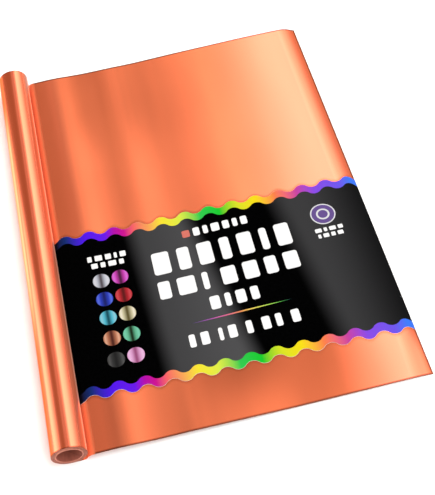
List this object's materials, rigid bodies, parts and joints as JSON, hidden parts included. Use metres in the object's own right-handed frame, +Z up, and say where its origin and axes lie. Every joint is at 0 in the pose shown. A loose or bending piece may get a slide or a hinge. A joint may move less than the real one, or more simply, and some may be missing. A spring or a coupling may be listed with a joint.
{
  "type": "foil paper roll",
  "caption": "Wide roll of copper foil paper on a board core, partly unrolled into a sheet with a wavy-edged wrap label; the roll rolls back over the table to pay out more paper.",
  "frame": {"origin": "centre of the core's bore, halfway along the roll", "axes": "+Y along the roll's axis, +X the way the sheet is pulled off, +Z up from the table, which lies at z = -0.0225"},
  "size_m": [0.4886, 0.6614, 0.045],
  "materials": {
    "foil": "satin",
    "backing_paper": "matte",
    "wound_web": "satin",
    "label": "satin",
    "tape": "gloss",
    "core_board": "matte"
  },
  "bodies": {
    "sheet": {"sheet_foil_face": "foil", "sheet_paper": "backing_paper", "sheet_foil_underside": "foil", "label_band": "label", "web_payout_strip": "foil"},
    "live_turn": {"web_live_turn": "foil"},
    "roll": {"web_wound_turns": "wound_web", "web_start_tape": "tape", "core_cover_ply": "core_board", "core_body_ply": "core_board", "core_liner_ply": "core_board"}
  },
  "joints": [
    {"name": "unroll_travel", "type": "slide", "parent": "sheet", "child": "live_turn", "axis": [-1, 0, 0], "range_m": [0, 0.4213], "deforming": ["web_payout_strip"]},
    {"name": "roll_spin", "type": "hinge", "parent": "live_turn", "child": "roll", "pos_m": [0, 0, 0], "axis": [0, -1, 0], "range_deg": [0, 1081]}
  ],
  "couplings": [
    {"joint": "roll_spin", "follows": "unroll_travel", "rad_per_m": 44.743}
  ]
}
